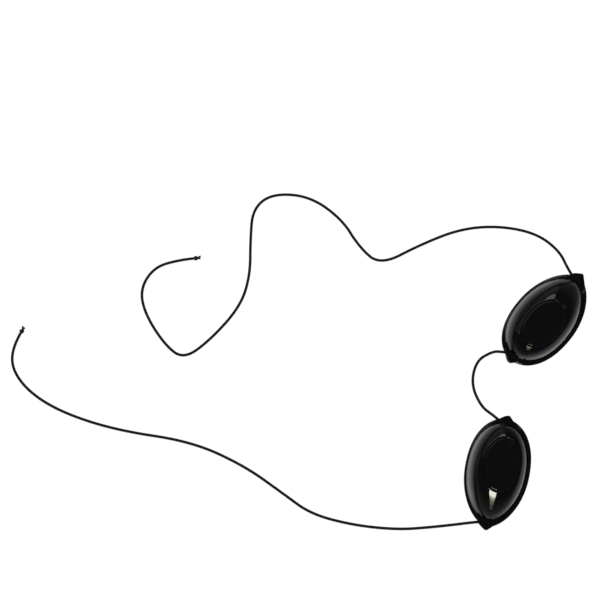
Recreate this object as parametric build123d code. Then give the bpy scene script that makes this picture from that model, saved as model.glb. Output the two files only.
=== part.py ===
from build123d import *
import os
from math import cos, pi, radians, sin, tan

# Tanning goggles: two smoked eye cups, dome up on their flat rims, joined and worn by one thin elastic cord.
# Sizes are in millimetres. +Z is up, and the origin is on the surface under the middle of the two cups.
# In a cup's own frame x runs from the nose to the temple, and y from the cheek to the brow.

# Where each cup lies: its middle, and the turn of its nose-to-temple line in degrees
right_middle = (10.7, 40.3)
right_turn = 49.2
left_middle = (-14.6, -36.1)
left_turn = -101.5

# Rim, the flat ring that meets the face
rim_height = 3.0
rim_nose_reach = 27.2
rim_temple_reach = 26.3
rim_half_width = 15.85
rim_widest_place = -1.5
rim_edge_round = 0.4

# Ledge of the rim that shows outside the dome
brow_ledge = 1.3
cheek_ledge = 0.5
nose_ledge = 2.1
temple_ledge = 2.3

# Dome, whose middle line leans towards the cheek
dome_height = 11.9
dome_root = 0.5
dome_lean = 0.65
wall = 0.9
hollow_step_height = 2.8
ceiling_height = 10.1
ceiling_margin = 0.3

# Lens, an oval disc with a bevelled edge, seated in the top of the dome
lens_place = (-4.55, 0.35)
lens_half_length = 13.2
lens_half_width = 8.7
lens_thickness = 1.5
lens_bevel = 0.55
lens_seat_depth = 1.0
lens_seat_ledge = 1.2
lens_clearance = 0.08
lens_surround = 0.55

# Lugs at the two ends of a cup, and the slanted hole through each
lug_root_place = 21.5
lug_length = 7.0
lug_width = 10.6
lug_height = 5.0
lug_tip_round = 1.1
lug_edge_round = 0.5
hole_radius = 1.2
hole_height = 2.0
hole_reach = 8.0
temple_hole_slant = 74.0
nose_hole_slant = 60.0

# Cord and its knots
cord_radius = 0.7
cord_exit_reach = 7.0
arc_share = 0.45
temple_knot_place = (23.7, -0.7)
nose_knot_place = (-24.0, -0.6)
knot_radius = 1.25
knot_wrap_thickness = 1.1
knot_wrap_round = 0.45
knot_wrap_tilt = 24.0
knot_wrap_gap = 0.5
knot_reach = 1.5
pocket_radius = 2.5
pocket_height = 4.1
tail_radius = 0.6
tail_length = 1.3
tail_turn = 35.0

# One overrun for every cut
overrun = 1.0

# Shares that shape the outlines: 1 and 2 give an ellipse
outline_steps = 24
point_share = 1.2
blunt_share = 2.3
oval_point_share = 1.0
oval_blunt_share = 2.0
dome_rise_shares = (0, 0.39, 0.72, 0.91, 1)
dome_brow_shares = (0, 0.33, 0.65, 0.83, 1)
dome_cheek_shares = (0, 0.26, 0.6, 0.84, 1)
dome_end_shares = (0, 0.13, 0.36, 0.7, 1)
temple_lug_shares = ((0, 0.47), (0.3, 0.44), (0.97, -0.03), (0.6, -0.38), (0.1, -0.56))
nose_lug_shares = ((0, 0.52), (0.4, 0.47), (1.06, 0.06), (1.0, -0.12), (0.45, -0.62), (0.1, -0.7))
lug_straight_share = 0.2

# The cord's free routes after it leaves a lug: across, up the page, and the height of its middle line
lying = cord_radius
settling = 0.9
right_head_route = [
    (18.0, 73.7, settling),
    (6.6, 82.7, lying),
    (-12.0, 86.4, lying),
    (-31.0, 84.9, lying),
    (-50.8, 77.1, lying),
    (-71.0, 66.6, lying),
    (-81.5, 75.9, lying),
    (-89.8, 89.6, lying),
    (-105.8, 101.3, lying),
    (-124.6, 102.7, lying),
    (-134.3, 94.9, lying),
    (-135.4, 79.4, lying),
    (-135.5, 61.4, lying),
    (-140.4, 46.0, lying),
    (-155.0, 29.6, lying),
    (-168.2, 19.9, lying),
    (-177.7, 27.4, lying),
    (-187.4, 42.5, lying),
    (-189.9, 54.8, lying),
    (-183.2, 65.5, lying),
    (-172.0, 69.1, lying),
    (-163.9, 70.0, knot_radius),
]
left_head_route = [
    (-33.5, -60.6, settling),
    (-46.0, -62.0, lying),
    (-63.0, -63.3, lying),
    (-84.9, -61.1, lying),
    (-105.5, -55.7, lying),
    (-118.5, -46.2, lying),
    (-138.1, -32.2, lying),
    (-164.1, -20.4, lying),
    (-199.7, -15.1, lying),
    (-225.8, -7.0, lying),
    (-242.8, 2.7, lying),
    (-252.3, 14.2, lying),
    (-252.9, 25.1, lying),
    (-248.8, 32.5, knot_radius),
]
nose_route = [
    (-16.3, 23.6, settling),
    (-23.8, 19.3, lying),
    (-26.6, 7.8, lying),
    (-21.8, -3.4, settling),
]
# Inside a cup, in its own frame, from near the temple knot to near the nose knot along the cheek wall
inner_route = [
    (20.7, -2.9, 1.5),
    (16.8, -6.2, settling),
    (9.8, -8.8, lying),
    (0.5, -10.9, lying),
    (-8.5, -10.2, lying),
    (-16.3, -7.0, settling),
    (-21.6, -3.8, 1.5),
]


def between(low, high, share):
    return low + (high - low) * share


def rim_edges():
    """Nose, temple, brow, cheek, widest place, middle line, and the two shares of the rim's outline."""
    return (
        -rim_nose_reach,
        rim_temple_reach,
        rim_half_width,
        -rim_half_width,
        rim_widest_place,
        0,
        point_share,
        blunt_share,
    )


def moved_in(edges, nose, temple, brow, cheek, lean):
    nose_x, temple_x, brow_y, cheek_y, widest, middle, *shares = edges
    return (nose_x + nose, temple_x - temple, brow_y - brow, cheek_y + cheek, widest, middle - lean, *shares)


def lens_edges(margin):
    x, y = lens_place
    length = lens_half_length + margin
    width = lens_half_width + margin
    return (x - length, x + length, y + width, y - width, x, y, oval_point_share, oval_blunt_share)


def outline(edges, level, side):
    """A closed face at a height: blunt towards the nose, pointed towards the temple."""
    nose_x, temple_x, brow_y, cheek_y, widest, middle, point, blunt = edges
    points = []
    for step in range(outline_steps):
        angle = 2 * pi * step / outline_steps
        along = cos(angle)
        across = abs(sin(angle)) ** point if along > 0 else (1 - abs(along) ** blunt) ** (1 / 2)
        reach = temple_x - widest if along > 0 else widest - nose_x
        edge = brow_y if sin(angle) > 0 else cheek_y
        points.append((widest + reach * along, side * between(middle, edge, across), level))
    return make_face(Spline(*points, periodic=True))


def shell_solid(foot, crown, low, high, side):
    """A domed solid that closes in from the foot outline to the crown outline."""
    sections = []
    for rise, brow, cheek, end in zip(dome_rise_shares, dome_brow_shares, dome_cheek_shares, dome_end_shares):
        shares = (end, end, brow, cheek, rise, rise, rise, rise)
        edges = tuple(between(a, b, share) for a, b, share in zip(foot, crown, shares))
        sections.append(outline(edges, between(low, high, rise), side))
    return loft(sections)


def lug(shares, end, side):
    """A tab that stands out of one end of the rim: end is 1 at the temple and -1 at the nose."""
    corners = []
    for along, across in shares:
        corners.append((end * (lug_root_place + lug_length * along), side * lug_width * across))
    plate = make_face(Polyline(*corners, close=True))
    straight = lug_root_place + lug_length * lug_straight_share
    plate = fillet([corner for corner in plate.vertices() if end * corner.X > straight], lug_tip_round)
    tab = extrude(plate, lug_height)
    return fillet(tab.edges().group_by(Axis.Z)[-1], lug_edge_round)


def hole_direction(slant, end, side):
    return Vector(end * cos(radians(slant)), -side * sin(radians(slant)), 0)


def drilled(place, slant, end, side):
    """The room that a knot and the cord need in a lug."""
    x, y = place
    floor = Vector(x, side * y, -overrun)
    pocket = extrude(Plane(origin=floor, z_dir=(0, 0, 1)) * Circle(pocket_radius), pocket_height + overrun)
    start = Vector(x, side * y, hole_height)
    direction = hole_direction(slant, end, side)
    bore = extrude(Plane(origin=start, z_dir=direction) * Circle(hole_radius), hole_reach)
    return pocket + bore


def heading(start, towards):
    return (Vector(towards) - Vector(start)).normalized()


def in_place(shape, middle, turn):
    return Pos(middle[0], middle[1], 0) * Rot(0, 0, turn) * shape


def make_cup(side):
    rim = rim_edges()
    foot = moved_in(rim, nose_ledge, temple_ledge, brow_ledge, cheek_ledge, dome_lean)
    hollow_foot = moved_in(foot, wall, wall, wall, wall, 0)
    dome_low = rim_height - dome_root
    skirt = extrude(outline(rim, 0, side), rim_height)
    skirt = fillet(skirt.edges().group_by(Axis.Z)[-1], rim_edge_round)
    dome = shell_solid(foot, lens_edges(lens_surround), dome_low, dome_height, side)
    body = skirt + dome + lug(temple_lug_shares, 1, side) + lug(nose_lug_shares, -1, side)
    opening = lens_edges(ceiling_margin - lens_seat_ledge)
    hollow = shell_solid(hollow_foot, opening, hollow_step_height, ceiling_height, side)
    mouth = extrude(outline(hollow_foot, -overrun, side), hollow_step_height + overrun)
    x, y = lens_place
    top = Pos(x, side * y, dome_height + overrun)
    seat = extrude(top * Ellipse(lens_half_length, lens_half_width), -lens_seat_depth - overrun)
    window = extrude(
        top * Ellipse(lens_half_length - lens_seat_ledge, lens_half_width - lens_seat_ledge),
        ceiling_height - dome_height - overrun - wall,
    )
    body = body - mouth - hollow - window - seat
    body -= drilled(temple_knot_place, temple_hole_slant, 1, side)
    body -= drilled(nose_knot_place, nose_hole_slant, -1, side)
    return body


def make_lens(side):
    x, y = lens_place
    bottom = Pos(x, side * y, dome_height - lens_seat_depth)
    disc = Ellipse(lens_half_length - lens_clearance, lens_half_width - lens_clearance)
    blank = extrude(bottom * disc, lens_thickness)
    return chamfer(blank.edges().group_by(Axis.Z)[-1], lens_bevel)


def cup_point(middle, turn, side, x, y, z):
    """A point of a cup's own frame, where it lies on the surface."""
    point = in_place(Pos(x, side * y, z), middle, turn).position
    return (point.X, point.Y, point.Z)


def hole_points(middle, turn, side, place, slant, end):
    """The two points where the cord starts at a knot and where it has left the lug."""
    points = []
    for reach in (knot_reach, cord_exit_reach):
        x = place[0] + end * reach * cos(radians(slant))
        y = place[1] - reach * sin(radians(slant))
        points.append(cup_point(middle, turn, side, x, y, hole_height))
    return points


def knot_exit(middle, towards):
    """The point where a cord leaves its knot."""
    point = Vector(middle) + heading(middle, towards) * knot_reach
    return (point.X, point.Y, point.Z)


def corner_radii(route):
    """Each arc is as large as its two runs allow."""
    radii = []
    for before, here, after in zip(route, route[1:], route[2:]):
        run_in = Vector(here) - Vector(before)
        run_out = Vector(after) - Vector(here)
        half_turn = radians(run_in.get_angle(run_out)) / 2
        radii.append(arc_share * min(run_in.length, run_out.length) / tan(half_turn))
    return radii


def make_cord(name, route):
    radii = corner_radii(route)
    path = FilletPolyline(*route, radius=radii)
    tube = sweep(Plane(origin=path @ 0, z_dir=path % 0) * Circle(cord_radius), path)
    plain = pi * cord_radius**2 * path.length
    print(name, "length", round(path.length, 1), "volume over plain tube", round(tube.volume / plain, 4))
    print(name, "corner radii", [round(radius, 1) for radius in radii])
    return tube


def rod(start, direction, radius, length):
    return extrude(Plane(origin=start, z_dir=direction) * Circle(radius), length)


def make_knot(*exits):
    """Two wraps of the cord pulled tight, with a short stub towards each cord that leaves it."""
    start, towards = exits[0]
    run = heading(start, towards)
    middle = Vector(start) - run * knot_reach
    knot = rod(middle, run, cord_radius, knot_reach)
    wrap = Cylinder(knot_radius, knot_wrap_thickness)
    wrap = fillet(wrap.edges().filter_by(GeomType.CIRCLE), knot_wrap_round)
    for step in (-1, 1):
        seat = Plane(origin=middle + run * step * knot_wrap_gap / 2, z_dir=run)
        knot += seat * Rot(step * knot_wrap_tilt, 0, 0) * wrap
    for start, towards in exits[1:]:
        knot += rod(middle, heading(start, towards), cord_radius, knot_reach)
    return knot


def make_end_knot(route):
    """The knot at the cord's free end, with its short cut tail."""
    start = route[-1]
    run = heading(start, route[-2])
    tail = rod(Vector(start) - run * knot_reach, (-run).rotate(Axis.Z, tail_turn), tail_radius, tail_length)
    return make_knot((start, route[-2])) + tail


def write(name, shape):
    shape.label = name
    export_step(shape, f"parts/{name}.step")


def main():
    os.makedirs("parts", exist_ok=True)
    exits = {}
    for name, middle, turn, side in (
        ("right", right_middle, right_turn, -1),
        ("left", left_middle, left_turn, 1),
    ):
        write(f"{name}_cup", in_place(make_cup(side), middle, turn))
        write(f"{name}_lens", in_place(make_lens(side), middle, turn))
        inner = [cup_point(middle, turn, side, *point) for point in inner_route]
        inner.insert(0, knot_exit(cup_point(middle, turn, side, *temple_knot_place, hole_height), inner[0]))
        inner.append(knot_exit(cup_point(middle, turn, side, *nose_knot_place, hole_height), inner[-1]))
        write(f"{name}_inner_cord", make_cord(f"{name}_inner_cord", inner))
        temple = hole_points(middle, turn, side, temple_knot_place, temple_hole_slant, 1)
        nose = hole_points(middle, turn, side, nose_knot_place, nose_hole_slant, -1)
        write(f"{name}_temple_knot", make_knot(temple, inner[:2]))
        write(f"{name}_nose_knot", make_knot(nose, inner[:-3:-1]))
        exits[name] = (temple, nose)
    for name, free in (("right", right_head_route), ("left", left_head_route)):
        route = exits[name][0] + free
        write(f"{name}_head_cord", make_cord(f"{name}_head_cord", route))
        write(f"{name}_end_knot", make_end_knot(route))
    route = exits["right"][1] + nose_route + exits["left"][1][::-1]
    write("nose_cord", make_cord("nose_cord", route))


main()
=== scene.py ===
from math import atan2, cos, pi, radians, sin

import bmesh
import bpy
from bpy.props import FloatProperty, FloatVectorProperty, PointerProperty
from mathutils import Matrix, Vector


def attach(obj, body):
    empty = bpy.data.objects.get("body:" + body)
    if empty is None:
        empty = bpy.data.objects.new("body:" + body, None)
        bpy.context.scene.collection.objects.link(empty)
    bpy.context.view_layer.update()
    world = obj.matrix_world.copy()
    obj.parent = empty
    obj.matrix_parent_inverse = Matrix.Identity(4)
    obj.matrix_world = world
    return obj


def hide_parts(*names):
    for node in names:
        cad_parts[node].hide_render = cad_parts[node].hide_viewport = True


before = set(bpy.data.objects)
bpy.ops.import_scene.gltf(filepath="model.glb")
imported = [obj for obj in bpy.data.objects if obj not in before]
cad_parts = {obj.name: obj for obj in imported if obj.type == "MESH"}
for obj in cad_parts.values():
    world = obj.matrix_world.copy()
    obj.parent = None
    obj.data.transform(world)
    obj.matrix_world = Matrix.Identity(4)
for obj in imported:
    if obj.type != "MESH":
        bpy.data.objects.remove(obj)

bl_info = {
    "name": "Tanning goggles",
    "version": (1, 0, 0),
    "blender": (4, 5, 0),
    "location": "View3D > Sidebar > Goggles",
    "description": "Smoked eye cups with raised lenses, strung on one thin elastic cord",
    "category": "Object",
}

# Metres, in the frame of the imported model: +Z is up, and the origin is under the middle of the two cups.
# In a cup's own frame x runs from the nose to the temple, and y from the cheek to the brow.

# Where each cup lies: its middle, the turn of its nose-to-temple line, and the side its brow is on
cup_places = {
    "right": ((0.0107, 0.0403), 49.2, -1),
    "left": ((-0.0146, -0.0361), -101.5, 1),
}

# Shares that shape the outlines: 1 and 2 give an ellipse
cup_shares = (1.2, 2.3)
oval_shares = (1.0, 2.0)

# How far a wall has closed in from its foot to its crown, and how high it has come
rise_shares = (0, 0.39, 0.72, 0.91, 1)
brow_shares = (0, 0.33, 0.65, 0.83, 1)
cheek_shares = (0, 0.26, 0.6, 0.84, 1)
end_shares = (0, 0.13, 0.36, 0.7, 1)
temple_lug_shares = ((0, 0.47), (0.3, 0.44), (0.97, -0.03), (0.6, -0.38), (0.1, -0.56))
nose_lug_shares = ((0, 0.52), (0.4, 0.47), (1.06, 0.06), (1.0, -0.12), (0.45, -0.62), (0.1, -0.7))

# The cord's routes, as it lies: across, up the page, and the height of its middle line
lying = 0.0007
settling = 0.0009
hole_height = 0.002
knot_radius = 0.00125
knot_reach = 0.0015
cord_exit_reach = 0.007
temple_knot_place = (0.0237, -0.0007)
nose_knot_place = (-0.0240, -0.0006)
temple_hole_slant = 74.0
nose_hole_slant = 60.0
right_head_route = [
    (0.0180, 0.0737, settling),
    (0.0066, 0.0827, lying),
    (-0.0120, 0.0864, lying),
    (-0.0310, 0.0849, lying),
    (-0.0508, 0.0771, lying),
    (-0.0710, 0.0666, lying),
    (-0.0815, 0.0759, lying),
    (-0.0898, 0.0896, lying),
    (-0.1058, 0.1013, lying),
    (-0.1246, 0.1027, lying),
    (-0.1343, 0.0949, lying),
    (-0.1354, 0.0794, lying),
    (-0.1355, 0.0614, lying),
    (-0.1404, 0.0460, lying),
    (-0.1550, 0.0296, lying),
    (-0.1682, 0.0199, lying),
    (-0.1777, 0.0274, lying),
    (-0.1874, 0.0425, lying),
    (-0.1899, 0.0548, lying),
    (-0.1832, 0.0655, lying),
    (-0.1720, 0.0691, lying),
    (-0.1639, 0.0700, knot_radius),
]
left_head_route = [
    (-0.0335, -0.0606, settling),
    (-0.0460, -0.0620, lying),
    (-0.0630, -0.0633, lying),
    (-0.0849, -0.0611, lying),
    (-0.1055, -0.0557, lying),
    (-0.1185, -0.0462, lying),
    (-0.1381, -0.0322, lying),
    (-0.1641, -0.0204, lying),
    (-0.1997, -0.0151, lying),
    (-0.2258, -0.0070, lying),
    (-0.2428, 0.0027, lying),
    (-0.2523, 0.0142, lying),
    (-0.2529, 0.0251, lying),
    (-0.2488, 0.0325, knot_radius),
]
nose_route = [
    (-0.0163, 0.0236, settling),
    (-0.0238, 0.0193, lying),
    (-0.0266, 0.0078, lying),
    (-0.0218, -0.0034, settling),
]
# Inside a cup, in its own frame, from near the temple knot to near the nose knot along the cheek wall
inner_route = [
    (0.0207, -0.0029, 0.0015),
    (0.0168, -0.0062, settling),
    (0.0098, -0.0088, lying),
    (0.0005, -0.0109, lying),
    (-0.0085, -0.0102, lying),
    (-0.0163, -0.0070, settling),
    (-0.0216, -0.0038, 0.0015),
]


def size(name, description, default):
    return FloatProperty(name=name, description=description, default=default, unit="LENGTH", precision=5)


def number(name, description, default):
    return FloatProperty(name=name, description=description, default=default)


def colour(name, description, default):
    return FloatVectorProperty(name=name, description=description, default=default, subtype="COLOR", size=3)


class CupSettings(bpy.types.PropertyGroup):
    """Sizes and colours of one eye cup."""

    rim_height: size("Rim height", "Height of the flat ring that meets the face", 0.003)
    rim_nose_reach: size("Nose reach", "From the cup's middle to the rim's nose end", 0.0272)
    rim_temple_reach: size("Temple reach", "From the cup's middle to the rim's temple end", 0.0263)
    rim_half_width: size("Half width", "Half of the rim's width from cheek to brow", 0.01585)
    rim_widest_place: size("Widest place", "Where along the cup the rim is widest", -0.0015)
    rim_round: size("Rim rounding", "Radius of the rim's edges", 0.0004)
    brow_ledge: size("Brow ledge", "Rim that shows outside the dome at the brow", 0.0013)
    cheek_ledge: size("Cheek ledge", "Rim that shows outside the dome at the cheek", 0.0005)
    nose_ledge: size("Nose ledge", "Rim that shows outside the dome at its nose end", 0.0021)
    temple_ledge: size("Temple ledge", "Rim that shows outside the dome at its temple end", 0.0023)
    dome_lean: size("Dome lean", "How far the dome's middle line leans towards the cheek", 0.00065)
    dome_height: size("Dome height", "Height of the dome's flat top", 0.0119)
    dome_root: size("Dome root", "How deep the dome's wall starts in the rim", 0.0005)
    wall: size("Wall", "Thickness of the dome's wall", 0.0009)
    hollow_step_height: size("Hollow step", "Height at which the hollow starts to close in", 0.0028)
    ceiling_height: size("Ceiling", "Height of the hollow's ceiling", 0.0101)
    lug_root_place: size("Lug root", "Where a lug starts along the cup", 0.0215)
    lug_length: size("Lug length", "Length of a lug from its root", 0.007)
    lug_width: size("Lug width", "Width that a lug's outline is drawn to", 0.0106)
    lug_height: size("Lug height", "Height of a lug", 0.005)
    lug_round: size("Lug rounding", "Radius of a lug's edges", 0.0005)
    hole_radius: size("Hole radius", "Radius of a lug's slanted cord hole", 0.0012)
    pocket_radius: size("Pocket radius", "Radius of the pocket that holds a knot", 0.0025)
    pocket_height: size("Pocket height", "Height of the pocket that holds a knot", 0.0041)
    hollow_clearness: number("Hollow", "How clear the hollow's own surface is", 0.88)
    shell_black: colour("Shell", "The smoked plastic's own colour", (0.0022, 0.0021, 0.0020))


class LensSettings(bpy.types.PropertyGroup):
    """Sizes and colour of one lens."""

    place_x: size("Place along", "Middle of the lens along the cup", -0.00455)
    place_y: size("Place across", "Middle of the lens across the cup", 0.00035)
    half_length: size("Half length", "Half of the lens's length", 0.0132)
    half_width: size("Half width", "Half of the lens's width", 0.0087)
    thickness: size("Thickness", "Thickness of the lens", 0.0015)
    bevel: size("Bevel", "Width of the lens's bevelled edge", 0.00055)
    seat_depth: size("Seat depth", "How deep the lens sits in the dome", 0.001)
    seat_ledge: size("Seat ledge", "Width of the ledge that carries the lens", 0.0012)
    clearance: size("Clearance", "Gap round the lens in its seat", 0.00008)
    surround: size("Surround", "Width of the dome's flat lip round the lens", 0.00055)
    lens_black: colour("Lens", "The filter plastic's own colour", (0.0027, 0.0024, 0.0023))


class CordSettings(bpy.types.PropertyGroup):
    """Sizes and colours of the elastic cord."""

    radius: size("Radius", "Half of the cord's thickness", 0.0007)
    tail_length: size("Tail length", "Length of the cut tail after an end knot", 0.0013)
    yarn_black: colour("Yarn", "The braid's own colour", (0.0022, 0.0021, 0.0021))
    # The crests' colour is a painted highlight, lighter than the yarn's own black
    yarn_crest_highlight: colour("Yarn crests", "The braid's crests, which catch the light", (0.0065, 0.0062, 0.0060))


class StageSettings(bpy.types.PropertyGroup):
    """The floor, the camera and the lamps."""

    floor_size: size("Floor", "Width of the floor", 6.0)
    floor_gap: size("Floor gap", "How far the floor lies under the rims", 0.0001)
    floor_colour: colour("Floor colour", "The floor's own colour", (0.12, 0.12, 0.12))
    floor_lift: number("Floor lift", "What the camera sees on top of the floor's colour", 0.93)
    floor_gloss: number("Floor gloss", "Share of the lift that gloss shows", 0.06)
    world_light: number("World light", "What the world gives to all but the camera", 0.05)
    camera_distance: size("Camera distance", "From the camera to the point it looks at", 0.85)
    camera_tilt: FloatProperty(
        name="Camera tilt", description="Lean from straight above", default=radians(6), subtype="ANGLE"
    )
    camera_lens: number("Lens", "Focal length in millimetres", 103.02)


def link(name, data):
    piece = bpy.data.objects.new(name, data)
    bpy.context.scene.collection.objects.link(piece)
    return piece


def mesh_object(name, mesh_code):
    """A new object whose mesh is the finished bmesh."""
    mesh = bpy.data.meshes.new(name)
    bmesh.ops.recalc_face_normals(mesh_code, faces=mesh_code.faces)
    mesh_code.to_mesh(mesh)
    mesh_code.free()
    return link(name, mesh)


def finished(piece):
    """The piece with its modifiers applied."""
    graph = bpy.context.evaluated_depsgraph_get()
    mesh = bpy.data.meshes.new_from_object(piece.evaluated_get(graph))
    piece.modifiers.clear()
    piece.data = mesh
    return piece


def between(low, high, share):
    return low + (high - low) * share


def at_share(shares, step):
    """A value on the smooth curve through evenly spaced shares."""
    last = len(shares) - 1
    index = min(int(step * last), last - 1)
    local = step * last - index
    low, high = shares[index], shares[index + 1]
    before = shares[max(index - 1, 0)]
    after = shares[min(index + 2, last)]
    slope_low = (high - before) / 2 if index else high - low
    slope_high = (after - low) / 2 if index + 2 <= last else high - low
    square, cube = local**2, local**3
    return (
        low * (2 * cube - 3 * square + 1)
        + slope_low * (cube - 2 * square + local)
        + high * (3 * square - 2 * cube)
        + slope_high * (cube - square)
    )


def cup_matrix(side_name):
    """Turns and mirrors a cup's own frame into its place."""
    (x, y), turn, side = cup_places[side_name]
    mirrored = Matrix.Diagonal((1, side, 1, 1))
    return Matrix.Translation((x, y, 0)) @ Matrix.Rotation(radians(turn), 4, "Z") @ mirrored


class Edges:
    """The reach of an oval outline on its four sides, where it is widest, and its middle line."""

    def __init__(self, nose, temple, brow, cheek, widest, middle, shares):
        self.values = (nose, temple, brow, cheek, widest, middle, *shares)

    def moved_in(self, nose, temple, brow, cheek, lean=0):
        nose_x, temple_x, brow_y, cheek_y, widest, middle, *shares = self.values
        return Edges(
            nose_x + nose, temple_x - temple, brow_y - brow, cheek_y + cheek, widest, middle - lean, shares
        )

    def inset(self, margin):
        return self.moved_in(margin, margin, margin, margin)

    def towards(self, other, brow, cheek, end, rise):
        steps = (end, end, brow, cheek, rise, rise, rise, rise)
        mixed = [between(a, b, step) for a, b, step in zip(self.values, other.values, steps)]
        return Edges(*mixed[:6], mixed[6:])

    def point(self, angle, level):
        nose, temple, brow, cheek, widest, middle, sharp, blunt = self.values
        along = cos(angle)
        across = abs(sin(angle)) ** sharp if along > 0 else (1 - abs(along) ** blunt) ** (1 / 2)
        reach = temple - widest if along > 0 else widest - nose
        edge = brow if sin(angle) > 0 else cheek
        return Vector((widest + reach * along, between(middle, edge, across), level))


def rim_edges(cup):
    return Edges(
        -cup.rim_nose_reach,
        cup.rim_temple_reach,
        cup.rim_half_width,
        -cup.rim_half_width,
        cup.rim_widest_place,
        0,
        cup_shares,
    )


def foot_edges(cup):
    """Where the dome meets the rim."""
    return rim_edges(cup).moved_in(
        cup.nose_ledge, cup.temple_ledge, cup.brow_ledge, cup.cheek_ledge, cup.dome_lean
    )


def lens_edges(lens, margin):
    length = lens.half_length + margin
    width = lens.half_width + margin
    x, y = lens.place_x, lens.place_y
    return Edges(x - length, x + length, y + width, y - width, x, y, oval_shares)


outline_segments = 96
wall_levels = 16
# Shares of an edge's rounding: where the rim's top starts, and how fine the rings beside a crease are
rim_top_share = 0.8
crease_share = 0.25
# A second ring beside the lens's seat keeps the lip round it shading flat
lip_ring_share = 1.7
# Slots of a shell: its outer wall, its thick parts and its hollow
outer_wall, thick_part, hollow_wall = 0, 1, 2


def skin(places):
    """A skin from ring to ring: each place is an outline, its height and the slot of the band up to it."""
    mesh_code = bmesh.new()
    turn = mesh_code.verts.layers.float.new("turn")
    ring = bmesh.ops.create_circle(mesh_code, segments=outline_segments, radius=1)["verts"]
    for corner in ring:
        corner[turn] = atan2(corner.co.y, corner.co.x)
    for count, (edges, level, slot) in enumerate(places):
        if count:
            inside = set(ring)
            border = [edge for edge in mesh_code.edges if inside.issuperset(edge.verts)]
            grown = bmesh.ops.extrude_edge_only(mesh_code, edges=border)["geom"]
            ring = [part for part in grown if isinstance(part, bmesh.types.BMVert)]
            for face in grown:
                if isinstance(face, bmesh.types.BMFace):
                    face.material_index = slot
        for corner in ring:
            corner.co = edges.point(corner[turn], level)
    return mesh_code


def wall_places(foot, crown, low, high, steps, slot=outer_wall):
    """Rings up a domed wall, from its foot towards its crown."""
    places = []
    for step in steps:
        brow, cheek = at_share(brow_shares, step), at_share(cheek_shares, step)
        end, rise = at_share(end_shares, step), at_share(rise_shares, step)
        places.append((foot.towards(crown, brow, cheek, end, rise), between(low, high, rise), slot))
    return places


def shell_solid(cup, lens):
    """The rim, the dome, the lens's seat and the hollow as one closed skin."""
    edge = cup.rim_round
    fine = edge * crease_share
    rim, foot = rim_edges(cup), foot_edges(cup)
    mouth = foot.inset(cup.wall)
    window = lens_edges(lens, -lens.seat_ledge)
    hollow_crown = window.inset(-edge / 2)
    seat = lens_edges(lens, 0)
    seat_floor = cup.dome_height - lens.seat_depth
    steps = [index / wall_levels for index in range(wall_levels + 1)]
    low = cup.rim_height - cup.dome_root
    places = [
        (rim.inset(edge), 0, thick_part),
        (rim.inset(fine), 0, thick_part),
        (rim, fine, thick_part),
        (rim, edge * 2, thick_part),
        (rim, cup.rim_height - edge * 2, thick_part),
        (rim.inset(fine / 2), cup.rim_height - edge / 2, thick_part),
        (rim.inset(edge * rim_top_share), cup.rim_height, thick_part),
        (foot.inset(-fine), cup.rim_height, thick_part),
        (foot.inset(fine / 2), cup.rim_height + fine, outer_wall),
        *wall_places(foot, lens_edges(lens, lens.surround), low, cup.dome_height, steps[1:]),
        (lens_edges(lens, lens.surround - fine), cup.dome_height, thick_part),
        (lens_edges(lens, fine * lip_ring_share), cup.dome_height, thick_part),
        (lens_edges(lens, fine), cup.dome_height, thick_part),
        (seat, cup.dome_height - fine, thick_part),
        (seat, seat_floor + fine, thick_part),
        (lens_edges(lens, -fine), seat_floor, thick_part),
        (lens_edges(lens, fine - lens.seat_ledge), seat_floor, thick_part),
        (window, seat_floor - fine, thick_part),
        (window, cup.ceiling_height + fine, thick_part),
        *wall_places(
            mouth, hollow_crown, cup.hollow_step_height, cup.ceiling_height, steps[::-1], hollow_wall
        ),
        (mouth, edge * 2, hollow_wall),
        (mouth, fine, hollow_wall),
        (mouth.inset(-fine), 0, hollow_wall),
        (mouth.inset(-edge), 0, thick_part),
        (rim.inset(edge), 0, thick_part),
    ]
    mesh_code = skin(places)
    bmesh.ops.remove_doubles(mesh_code, verts=mesh_code.verts, dist=fine / 100)
    return rounded(mesh_object("shell", mesh_code))


# A lug's root lies in the dome's wall: the angles that it spans, the wall's step at its top, and its
# depth in the wall at its foot and at its top
temple_root_angles = (-26, 27)
nose_root_angles = (207, 156)
root_points = 7
root_top_step = 0.17
root_depth_shares = (0.75, 0.45)
# The corners of a lug past its root are rounder than its top
tip_start_share = 0.2
tip_round_share = 1.6
lug_plans = (
    (temple_lug_shares, 1, temple_root_angles),
    (nose_lug_shares, -1, nose_root_angles),
)
hole_plans = (
    (temple_knot_place, temple_hole_slant, 1),
    (nose_knot_place, nose_hole_slant, -1),
)


def round_edges(mesh_code, edges, offset, segments):
    bmesh.ops.bevel(
        mesh_code, geom=edges, offset=offset, offset_type="OFFSET", segments=segments, profile=0.5,
        affect="EDGES", material=-1, clamp_overlap=True,
    )


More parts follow.
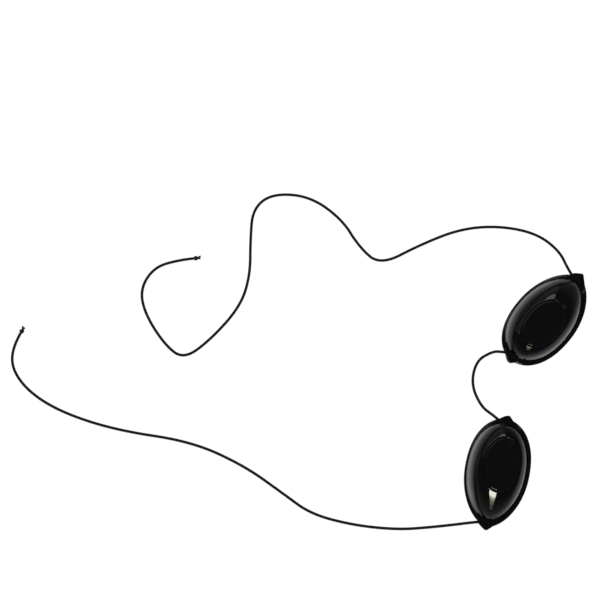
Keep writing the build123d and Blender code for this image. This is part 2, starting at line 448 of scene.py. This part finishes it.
def lug_block(cup, lens, shares, end, angles):
    """A lug with square edges. Its root follows the dome's wall, and its root corners keep their turn."""
    foot = foot_edges(cup)
    low = cup.rim_height - cup.dome_root
    crown = lens_edges(lens, lens.surround)
    top_edges = wall_places(foot, crown, low, cup.dome_height, [root_top_step])[0][0]
    foot_share, top_share = root_depth_shares
    root_bottom, root_top = foot.inset(cup.wall * foot_share), top_edges.inset(cup.wall * top_share)
    mesh_code = bmesh.new()
    turn = mesh_code.verts.layers.float.new("turn")
    corners = []
    for along, across in shares:
        x = end * (cup.lug_root_place + cup.lug_length * along)
        corners.append(mesh_code.verts.new((x, cup.lug_width * across, 0)))
    for index in range(root_points):
        angle = radians(between(*angles, index / (root_points - 1)))
        corner = mesh_code.verts.new(root_bottom.point(angle, 0))
        corner[turn] = angle
        corners.append(corner)
    plate = mesh_code.faces.new(corners)
    grown = bmesh.ops.extrude_face_region(mesh_code, geom=[plate])["geom"]
    top = [part for part in grown if isinstance(part, bmesh.types.BMVert)]
    for corner in top:
        if corner[turn]:
            corner.co = root_top.point(corner[turn], 0)
        corner.co.z = cup.lug_height
    return mesh_code, turn


def lug_solid(cup, lens, shares, end, angles):
    """A tab that stands out of one end of the rim: end is 1 at the temple and -1 at the nose."""
    mesh_code, turn = lug_block(cup, lens, shares, end, angles)
    tips = []
    tip_start = cup.lug_root_place + cup.lug_length * tip_start_share
    for edge in mesh_code.edges:
        one, other = edge.verts
        upright = abs(one.co.z - other.co.z) > cup.lug_round
        if upright and not one[turn] and end * one.co.x > tip_start:
            tips.append(edge)
    round_edges(mesh_code, tips, cup.lug_round * tip_round_share, segments=6)
    rim_of_top = []
    for edge in mesh_code.edges:
        at_top = min(corner.co.z for corner in edge.verts) > cup.lug_height - cup.lug_round / 2
        if at_top and not any(corner[turn] for corner in edge.verts):
            rim_of_top.append(edge)
    round_edges(mesh_code, rim_of_top, cup.lug_round, segments=4)
    return thick(mesh_object("lug", mesh_code))


def rod_solid(name, radius, length, matrix, segments):
    mesh_code = bmesh.new()
    bmesh.ops.create_cone(
        mesh_code, cap_ends=True, segments=segments, radius1=radius, radius2=radius, depth=length,
        matrix=matrix,
    )
    return thick(mesh_object(name, mesh_code))


def hole_direction(slant, end):
    return Vector((end * cos(radians(slant)), -sin(radians(slant)), 0))


def hole_solid(cup, place, slant, end):
    """The slanted hole through a lug."""
    length = cord_exit_reach + knot_reach
    direction = hole_direction(slant, end)
    turn = direction.to_track_quat("Z", "Y").to_matrix().to_4x4()
    middle = Vector((*place, hole_height)) + direction * length / 2
    return rod_solid("hole", cup.hole_radius, length, Matrix.Translation(middle) @ turn, segments=40)


def pocket_solid(cup, place):
    """The pocket under a lug that holds a knot."""
    depth = cup.pocket_height + cup.rim_round
    middle = (*place, depth / 2 - cup.rim_round)
    return rod_solid("pocket", cup.pocket_radius, depth, Matrix.Translation(middle), segments=56)


def with_slots(piece):
    """Adds three empty slots, which are filled when the shell is finished."""
    for _ in (outer_wall, thick_part, hollow_wall):
        piece.data.materials.append(None)
    return piece


def thick(piece):
    with_slots(piece)
    for face in piece.data.polygons:
        face.material_index = thick_part
    return piece


def carve(piece, other, operation):
    """Joins another solid to the piece, or cuts it out of the piece."""
    step = piece.modifiers.new("carve", "BOOLEAN")
    step.object = other
    step.operation = operation
    step.solver = "MANIFOLD"
    finished(piece)
    bpy.data.objects.remove(other)


def smooth(piece, angle):
    for face in piece.data.polygons:
        face.use_smooth = True
    piece.data.set_sharp_from_angle(angle=radians(angle))


def rounded(piece):
    """Subdivision makes a cage of rings a smooth surface."""
    step = piece.modifiers.new("rounded", "SUBSURF")
    step.levels = step.render_levels = 1
    return finished(piece)


def cup_solid(cup, lens):
    """The shell with its lugs, their cord holes and the pockets for the knots."""
    shell = with_slots(shell_solid(cup, lens))
    for shares, end, angles in lug_plans:
        carve(shell, lug_solid(cup, lens, shares, end, angles), "UNION")
    for place, slant, end in hole_plans:
        carve(shell, hole_solid(cup, place, slant, end), "DIFFERENCE")
        carve(shell, pocket_solid(cup, place), "DIFFERENCE")
    return shell


def lens_solid(name, cup, lens):
    """A disc with a bevelled edge. A ring inside the edge of its top keeps that top shading flat."""
    bottom = cup.dome_height - lens.seat_depth
    top = bottom + lens.thickness
    bevel_foot = top - lens.bevel
    fine = lens.bevel * crease_share / 2
    places = []
    for margin, level in (
        (lens.bevel, bottom),
        (fine, bottom),
        (0, bottom + fine),
        (0, bevel_foot - fine),
        (fine, bevel_foot + fine / 2),
        (lens.bevel - fine, top - fine),
        (lens.bevel + fine, top),
        (lens.bevel + fine * 3, top),
    ):
        places.append((lens_edges(lens, -lens.clearance - margin), level, 0))
    mesh_code = skin(places)
    for level in (bottom, top):
        border = [edge for edge in mesh_code.edges if edge.is_boundary]
        ring = [edge for edge in border if abs(edge.verts[0].co.z - level) < fine]
        bmesh.ops.edgeloop_fill(mesh_code, edges=ring)
    return mesh_object(name, mesh_code)


def placed(piece, side_name):
    """Puts a piece that was made in a cup's own frame into its place."""
    matrix = cup_matrix(side_name)
    piece.data.transform(matrix)
    if matrix.determinant() < 0:
        piece.data.flip_normals()
    return piece


class Material:
    """A node material under construction."""

    def __init__(self, name):
        self.made = bpy.data.materials.new(name)
        self.made.use_nodes = True
        self.nodes = self.made.node_tree.nodes
        self.links = self.made.node_tree.links
        self.nodes.clear()
        self.output = self.add("ShaderNodeOutputMaterial")

    def add(self, kind, inputs=(), **settings):
        node = self.nodes.new(kind)
        for name, value in settings.items():
            setattr(node, name, value)
        for name, value in dict(inputs).items():
            if isinstance(value, bpy.types.NodeSocket):
                self.links.new(value, node.inputs[name])
            else:
                node.inputs[name].default_value = value
        return node

    def maths(self, operation, first, second=0.0):
        return self.add("ShaderNodeMath", {0: first, 1: second}, operation=operation).outputs[0]

    def ranged(self, value, source, target):
        sockets = {"From Min": source[0], "From Max": source[1], "To Min": target[0], "To Max": target[1]}
        return self.add("ShaderNodeMapRange", {"Value": value, **sockets}).outputs["Result"]

    def surface(self, shader):
        self.links.new(shader.outputs[0], self.output.inputs["Surface"])
        return self.made

    def ramp(self, factor, stops):
        node = self.add("ShaderNodeValToRGB", {"Fac": factor})
        elements = node.color_ramp.elements
        while len(elements) < len(stops):
            elements.new(1)
        for element, (place, shade) in zip(elements, stops):
            element.position = place
            element.color = (*shade, 1) if isinstance(shade, (tuple, list)) else (shade, shade, shade, 1)
        return node.outputs["Color"]


# How clear the wall is at each share of the dome's height. The clearness that falls towards the crown is
# painted shade for the dark under the dome, on top of the plastic's own smoke tint
clear_shares_with_painted_shade = (
    (0.260, 0.060),
    (0.330, 0.120),
    (0.420, 0.200),
    (0.480, 0.200),
    (0.546, 0.140),
    (0.630, 0.076),
    (0.714, 0.032),
    (0.777, 0.017),
    (0.819, 0.011),
    (0.861, 0.006),
    (0.903, 0.0025),
    (0.945, 0.0),
)
# The painted shade's lead in height at the cheek, and its lag at the brow
painted_shade_lead = 0.042
# Towards its two ends the wall grows less clear: the middle, how far from it that starts and stops, and
# the share of clearness that is left there
ends_middle = -0.0025
ends_start = 0.0145
ends_stop = 0.024
ends_clearness = 0.25

# Moulded plastic: how rough its polish is, from its smoothest to its dullest places, and its refraction
polish_roughness = (0.02, 0.05)
plastic_refraction = 1.5


def polished(made, where, black, grain, detail):
    """A black plastic whose polish changes a little over its surface."""
    flow = made.add("ShaderNodeTexNoise", {"Vector": where, "Scale": grain, "Detail": detail}).outputs["Fac"]
    rough = made.ranged(flow, (0, 1), polish_roughness)
    return made.add(
        "ShaderNodeBsdfPrincipled", {"Base Color": (*black, 1), "Roughness": rough, "IOR": plastic_refraction}
    )


def smoked_plastic(name, cup, side_name=None, clearness=0):
    """Glossy smoke plastic, near black where it is thick. On a side's thin wall it is clear grey near its
    foot and darker towards its crown: painted shade for the dark under the dome, on top of the plastic's own
    smoke tint.
    """
    made = Material(name)
    where = made.add("ShaderNodeTexCoord").outputs["Object"]
    plastic = polished(made, where, cup.shell_black, grain=130, detail=2)
    plastic.inputs["Alpha"].default_value = 1 - clearness
    if side_name:
        (x, y), turn, side = cup_places[side_name]
        own = made.add(
            "ShaderNodeMapping",
            {
                "Vector": where,
                "Location": (x, y, 0),
                "Rotation": (0, 0, radians(turn)),
                "Scale": (1, side, 1),
            },
            vector_type="TEXTURE",
        ).outputs["Vector"]
        parts = made.add("ShaderNodeSeparateXYZ", {"Vector": own}).outputs
        # The wall's clearness by height, with its lead at the cheek, is painted shade for the dark under the
        # dome, on top of the plastic's own smoke tint; towards the two ends the wall is darker still
        height = made.ranged(parts["Z"], (0, cup.dome_height), (0, 1))
        lead = made.ranged(parts["Y"], (-cup.rim_half_width, cup.rim_half_width), (painted_shade_lead, -painted_shade_lead))
        clear = made.ramp(made.maths("ADD", height, lead), clear_shares_with_painted_shade)
        offset = made.maths("ABSOLUTE", made.maths("SUBTRACT", parts["X"], ends_middle))
        fade = made.ranged(offset, (ends_start, ends_stop), (1, ends_clearness))
        dark = made.maths("SUBTRACT", 1.0, made.maths("MULTIPLY", clear, fade))
        made.links.new(dark, plastic.inputs["Alpha"])
    return made.surface(plastic)


def lens_plastic(lens):
    """Polished near-black filter plastic."""
    made = Material("lens_plastic")
    where = made.add("ShaderNodeTexCoord").outputs["Object"]
    return made.surface(polished(made, where, lens.lens_black, grain=220, detail=3))


# The braid: the length of one crossing, the crossings round the cord, the span of its two waves that
# stands out, and how high its crests stand
braid_pitch = 0.0011
braid_crossings = 4
crest_span = (-0.6, 1)
crest_height = 0.00008


def elastic_braid(name, length, cord):
    """Fine round braid, which follows the cord's own texture map."""
    made = Material(f"elastic_braid_{name}")
    texture_map = made.add("ShaderNodeTexCoord").outputs["UV"]
    turns = length / braid_pitch
    pattern = {"Vector": texture_map, "Scale": (turns, braid_crossings, 1)}
    weave = made.add("ShaderNodeMapping", pattern).outputs["Vector"]
    parts = made.add("ShaderNodeSeparateXYZ", {"Vector": weave}).outputs
    crests = []
    for sign in ("ADD", "SUBTRACT"):
        slant = made.maths(sign, parts["X"], parts["Y"])
        crests.append(made.maths("SINE", made.maths("MULTIPLY", slant, pi * 2)))
    height = made.ranged(made.maths("MAXIMUM", *crests), crest_span, (0, 1))
    relief = {"Height": height, "Strength": 0.6, "Distance": crest_height}
    bump = made.add("ShaderNodeBump", relief).outputs["Normal"]
    # The crests are painted lighter than the yarn: a painted highlight where they catch the light
    shade = made.ramp(height, ((0.0, tuple(cord.yarn_black)), (1.0, tuple(cord.yarn_crest_highlight))))
    yarn = made.add(
        "ShaderNodeBsdfPrincipled",
        {
            "Base Color": shade,
            "Roughness": 0.75,
            "Normal": bump,
            "Specular IOR Level": 0.25,
            "Sheen Weight": 0.15,
        },
    )
    return made.surface(yarn)


def hole_points(side_name, place, slant, end):
    """Where the cord starts at a knot, and where it has left the lug."""
    matrix = cup_matrix(side_name)
    start = Vector((*place, hole_height))
    run = hole_direction(slant, end)
    return [tuple(matrix @ (start + run * reach)) for reach in (knot_reach, cord_exit_reach)]


def knot_exit(side_name, place, towards):
    """Where an inner stretch leaves its knot."""
    middle = cup_matrix(side_name) @ Vector((*place, hole_height))
    return tuple(middle + (Vector(towards) - middle).normalized() * knot_reach)


def add_spline(curve, route, swells=None):
    """One open spline along the route, as thick as the cord or as thick as the swells tell."""
    spline = curve.splines.new("NURBS")
    spline.points.add(len(route) - 1)
    for point, place in zip(spline.points, route):
        point.co = (*place, 1)
    for point, swell in zip(spline.points, swells or ()):
        point.radius = swell
    spline.order_u = 3
    spline.use_endpoint_u = True


def strand(name, route, cord, swells=None):
    curve = bpy.data.curves.new(name, "CURVE")
    curve.dimensions = "3D"
    curve.resolution_u = 24
    curve.bevel_depth = cord.radius
    curve.bevel_resolution = 6
    curve.use_fill_caps = True
    add_spline(curve, route, swells)
    return link(name, curve)


# A knot is the cord wrapped on itself and pulled tight: its points a turn, its turns, how thin the cord is
# pulled there, how far the wraps stand off the run, and how long a stretch of the run they take
wrap_steps = 10
wrap_turns = 2
wrap_swell = 0.62
wrap_reach = 0.00078
wrap_spread = 0.00095
# How near its middle the cord comes before it wraps, and where on its way out it is free of the wraps
wrap_entry_share = 0.45
wrap_exit_share = 0.6


def knot_strand(name, middle, run, start, ends, cord):
    """From one end the cord goes into the knot, wraps round its run, and comes out along it."""
    across = run.cross((0, 0, 1)).normalized()
    over = across.cross(run)
    route = [start, middle + (start - middle) * wrap_entry_share]
    swells = [ends[0], (ends[0] + wrap_swell) / 2]
    count = wrap_steps * wrap_turns
    for index in range(count + 1):
        turn = 2 * pi * index / wrap_steps
        along = between(-wrap_spread, wrap_spread, index / count) / 2
        route.append(middle + run * along + (across * cos(turn) + over * sin(turn)) * wrap_reach)
        swells.append(wrap_swell)
    route += [middle + run * knot_reach * wrap_exit_share, middle + run * knot_reach]
    swells += [(ends[1] + wrap_swell) / 2, ends[1]]
    return strand(name, route, cord, swells)


# The cord's real lengths between its knots, and the length that one knot takes up
cord_lengths = {
    "right_head": 0.3490,
    "left_head": 0.2697,
    "nose": 0.0544,
    "right_inner": 0.0504,
    "left_inner": 0.0504,
}
knot_cord_length = 0.013
# The two cut tips of an end knot: how far each turns off the run, its length as a share of the tail's,
# where in the knot both start, and how thick the cord is along them
tail_turn = 35.0
tail_plans = ((tail_turn, 1), (-tail_turn, 0.75))
tail_start_share = 0.7
tail_swells = (0.7, 0.7, 0.6)


def cord_routes():
    """The route of each stretch of the cord, from knot to knot."""
    temple, nose, routes = {}, {}, {}
    for side_name in cup_places:
        temple[side_name] = hole_points(side_name, temple_knot_place, temple_hole_slant, 1)
        nose[side_name] = hole_points(side_name, nose_knot_place, nose_hole_slant, -1)
        inner = [tuple(cup_matrix(side_name) @ Vector(point)) for point in inner_route]
        inner.insert(0, knot_exit(side_name, temple_knot_place, inner[0]))
        inner.append(knot_exit(side_name, nose_knot_place, inner[-1]))
        routes[f"{side_name}_inner"] = inner
    routes["right_head"] = temple["right"] + right_head_route
    routes["left_head"] = temple["left"] + left_head_route
    routes["nose"] = nose["right"] + nose_route + nose["left"][::-1]
    return routes


def end_knot(side_name, head, cord):
    """The knot at the free end of a head stretch, with the two cut tips of the cord."""
    last = Vector(head[-1])
    run = (last - Vector(head[-2])).normalized()
    middle = last + run * knot_reach
    knot = knot_strand(f"{side_name}_end_wraps", middle, run, last, (1, wrap_swell), cord)
    start = middle + run * knot_reach * tail_start_share
    for turn, share in tail_plans:
        reach = Matrix.Rotation(radians(turn), 3, "Z") @ run * cord.tail_length * share
        add_spline(knot.data, [middle, start, middle + run * knot_reach + reach], tail_swells)
    return knot


class GOGGLES_OT_knots(bpy.types.Operator):
    """Tie the six knots."""

    bl_idname = "goggles.knots"
    bl_label = "Knots"

    def execute(self, context):
        cord = context.scene.goggles_cord
        routes = cord_routes()
        finish = elastic_braid("knots", knot_cord_length, cord)
        nose_ends = {"right": routes["nose"][0], "left": routes["nose"][-1]}
        knots = {}
        for side_name in cup_places:
            inner, head = routes[f"{side_name}_inner"], routes[f"{side_name}_head"]
            for kind, place, outward, inward in (
                ("temple", temple_knot_place, head[0], inner[0]),
                ("nose", nose_knot_place, nose_ends[side_name], inner[-1]),
            ):
                middle = cup_matrix(side_name) @ Vector((*place, hole_height))
                run = (Vector(outward) - middle).normalized()
                name = f"{side_name}_{kind}"
                knots[name] = knot_strand(f"{name}_wraps", middle, run, Vector(inward), (1, 1), cord)
            knots[f"{side_name}_end"] = end_knot(side_name, head, cord)
        for name, knot in knots.items():
            knot.data.materials.append(finish)
            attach(knot, "cord")
            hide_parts(f"{name}_knot")
        return {"FINISHED"}


class GOGGLES_OT_cords(bpy.types.Operator):
    """Lay the five stretches of the elastic cord."""

    bl_idname = "goggles.cords"
    bl_label = "Cords"

    def execute(self, context):
        cord = context.scene.goggles_cord
        for name, route in cord_routes().items():
            length = cord_lengths[name]
            piece = strand(f"{name}_elastic", route, cord)
            piece.data.materials.append(elastic_braid(name, length, cord))
            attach(piece, "cord")
            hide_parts(f"{name}_cord")
        return {"FINISHED"}


class GOGGLES_OT_cups(bpy.types.Operator):
    """Mould the two smoked eye cups."""

    bl_idname = "goggles.cups"
    bl_label = "Cups"

    def execute(self, context):
        cup, lens = context.scene.goggles_cup, context.scene.goggles_lens
        thick_plastic = smoked_plastic("smoked_thick", cup)
        hollow_plastic = smoked_plastic("smoked_hollow", cup, clearness=cup.hollow_clearness)
        for side_name in cup_places:
            shell = placed(cup_solid(cup, lens), side_name)
            shell.name = f"{side_name}_cup_shell"
            smooth(shell, angle=32)
            # The outer wall's material holds the painted shade under the dome
            shell.data.materials[outer_wall] = smoked_plastic(f"smoked_wall_painted_shade_{side_name}", cup, side_name)
            shell.data.materials[thick_part] = thick_plastic
            shell.data.materials[hollow_wall] = hollow_plastic
            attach(shell, f"{side_name}_eye_cup")
            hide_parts(f"{side_name}_cup")
        return {"FINISHED"}


class GOGGLES_OT_lenses(bpy.types.Operator):
    """Seat the two dark oval lenses."""

    bl_idname = "goggles.lenses"
    bl_label = "Lenses"

    def execute(self, context):
        cup, lens = context.scene.goggles_cup, context.scene.goggles_lens
        finish = lens_plastic(lens)
        for side_name in cup_places:
            disc = placed(lens_solid(f"{side_name}_lens_disc", cup, lens), side_name)
            smooth(disc, angle=30)
            disc.data.materials.append(finish)
            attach(disc, f"{side_name}_eye_cup")
            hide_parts(f"{side_name}_lens")
        return {"FINISHED"}


class GOGGLES_OT_stage(bpy.types.Operator):
    """Set the camera, the lamps and the plain pale floor."""

    bl_idname = "goggles.stage"
    bl_label = "Stage"

    def execute(self, context):
        stage = context.scene.goggles_stage
        make_camera(stage)
        make_floor(stage)
        make_world(stage)
        make_lamps()
        context.scene.view_settings.view_transform = "Standard"
        return {"FINISHED"}


# The point on the floor that the camera looks at
aim = Vector((-0.11078, 0.04944, 0))


def make_camera(stage):
    camera = link("camera", bpy.data.cameras.new("camera"))
    back = Vector((0, -sin(stage.camera_tilt), cos(stage.camera_tilt)))
    camera.location = aim + back * stage.camera_distance
    camera.rotation_euler = (stage.camera_tilt, 0, 0)
    camera.data.lens = stage.camera_lens
    camera.data.clip_start = 0.01
    bpy.context.scene.camera = camera


def make_floor(stage):
    mesh_code = bmesh.new()
    bmesh.ops.create_grid(mesh_code, x_segments=2, y_segments=2, size=stage.floor_size / 2)
    bmesh.ops.translate(mesh_code, verts=mesh_code.verts, vec=(0, 0, -stage.floor_gap))
    floor = mesh_object("floor", mesh_code)
    made = Material("floor_pale")
    rays = made.add("ShaderNodeLightPath").outputs
    seen = made.maths("MAXIMUM", rays["Is Camera Ray"], rays["Is Transmission Ray"])
    mirrored = made.maths("MULTIPLY", rays["Is Glossy Ray"], stage.floor_gloss)
    lift = made.maths("MULTIPLY", made.maths("MAXIMUM", seen, mirrored), stage.floor_lift)
    paint = made.add("ShaderNodeBsdfDiffuse", {"Color": (*stage.floor_colour, 1)})
    glow = made.add("ShaderNodeEmission", {"Color": (1, 1, 1, 1), "Strength": lift})
    both = made.add("ShaderNodeAddShader", {0: paint.outputs[0], 1: glow.outputs[0]})
    floor.data.materials.append(made.surface(both))


def make_world(stage):
    """White to the camera, and dim to everything else."""
    world = bpy.data.worlds.new("plain_world")
    bpy.context.scene.world = world
    world.use_nodes = True
    nodes, links = world.node_tree.nodes, world.node_tree.links
    nodes.clear()
    rays = nodes.new("ShaderNodeLightPath")
    strength = nodes.new("ShaderNodeMapRange")
    strength.inputs["To Min"].default_value = stage.world_light
    strength.inputs["To Max"].default_value = 1
    back = nodes.new("ShaderNodeBackground")
    output = nodes.new("ShaderNodeOutputWorld")
    links.new(rays.outputs["Is Camera Ray"], strength.inputs["Value"])
    links.new(strength.outputs["Result"], back.inputs["Strength"])
    links.new(back.outputs[0], output.inputs["Surface"])


# Each lamp: width, depth, direction from the goggles by azimuth and elevation, distance, power, colour
lamps = {
    "overhead": (1.6, 1.6, 100, 78, 1.5, 22.0, (1.0, 1.0, 1.0)),
    "window_top": (0.18, 0.09, -100, 70, 0.9, 1.0, (0.97, 1.0, 0.84)),
    "window_upper": (0.185, 0.07, -101, 65, 0.9, 0.38, (0.95, 1.0, 0.76)),
    "window_middle": (0.18, 0.07, -101, 60.5, 0.9, 0.19, (0.95, 1.0, 0.72)),
    "window_lower": (0.17, 0.07, -101, 56, 0.9, 0.085, (0.97, 1.0, 0.7)),
    "window_foot": (0.16, 0.2, -101, 47, 0.9, 0.1, (1.0, 1.0, 0.7)),
    "softbox": (0.54, 0.24, 111, 58, 0.7, 0.75, (0.86, 0.97, 1.0)),
    "low_softbox": (1.0, 0.5, 126, 28, 0.7, 0.29, (1.0, 1.0, 0.98)),
    "far_lamp_right": (0.07, 0.07, 34, 67, 1.0, 0.07, (1.0, 0.78, 0.68)),
    "far_lamp_left": (0.1, 0.05, 168, 43, 1.0, 0.016, (1.0, 0.7, 0.6)),
}
# The overhead light only fills: it doesn't show in the gloss
fill_lamps = ("overhead",)


def make_lamps():
    for name, (width, depth, azimuth, elevation, distance, power, shade) in lamps.items():
        data = bpy.data.lights.new(name, "AREA")
        data.shape = "RECTANGLE"
        data.size, data.size_y = width, depth
        data.energy = power
        data.color = shade
        lamp = link(name, data)
        a, e = radians(azimuth), radians(elevation)
        direction = Vector((cos(a) * cos(e), sin(a) * cos(e), sin(e)))
        lamp.location = direction * distance
        lamp.rotation_euler = direction.to_track_quat("Z", "Y").to_euler()
        lamp.visible_glossy = name not in fill_lamps


class GOGGLES_PT_sidebar(bpy.types.Panel):
    bl_idname = "GOGGLES_PT_sidebar"
    bl_label = "Tanning goggles"
    bl_space_type = "VIEW_3D"
    bl_region_type = "UI"
    bl_category = "Goggles"

    def draw(self, context):
        for operator in operators:
            self.layout.operator(operator.bl_idname)


operators = (GOGGLES_OT_stage, GOGGLES_OT_knots, GOGGLES_OT_cords, GOGGLES_OT_cups, GOGGLES_OT_lenses)
settings = {
    "goggles_cup": CupSettings,
    "goggles_lens": LensSettings,
    "goggles_cord": CordSettings,
    "goggles_stage": StageSettings,
}


def register():
    for kind in (*settings.values(), *operators, GOGGLES_PT_sidebar):
        bpy.utils.register_class(kind)
    for name, kind in settings.items():
        setattr(bpy.types.Scene, name, PointerProperty(type=kind))


def unregister():
    for name in settings:
        delattr(bpy.types.Scene, name)
    for kind in (GOGGLES_PT_sidebar, *operators[::-1], *list(settings.values())[::-1]):
        bpy.utils.unregister_class(kind)


def corners(box):
    return [list(corner) for corner in box]


def main():
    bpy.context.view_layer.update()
    register()
    bpy.ops.goggles.stage()
    bpy.ops.goggles.knots()
    bpy.ops.goggles.cords()
    bpy.ops.goggles.cups()
    bpy.ops.goggles.lenses()


if __name__ == "__main__":
    main()
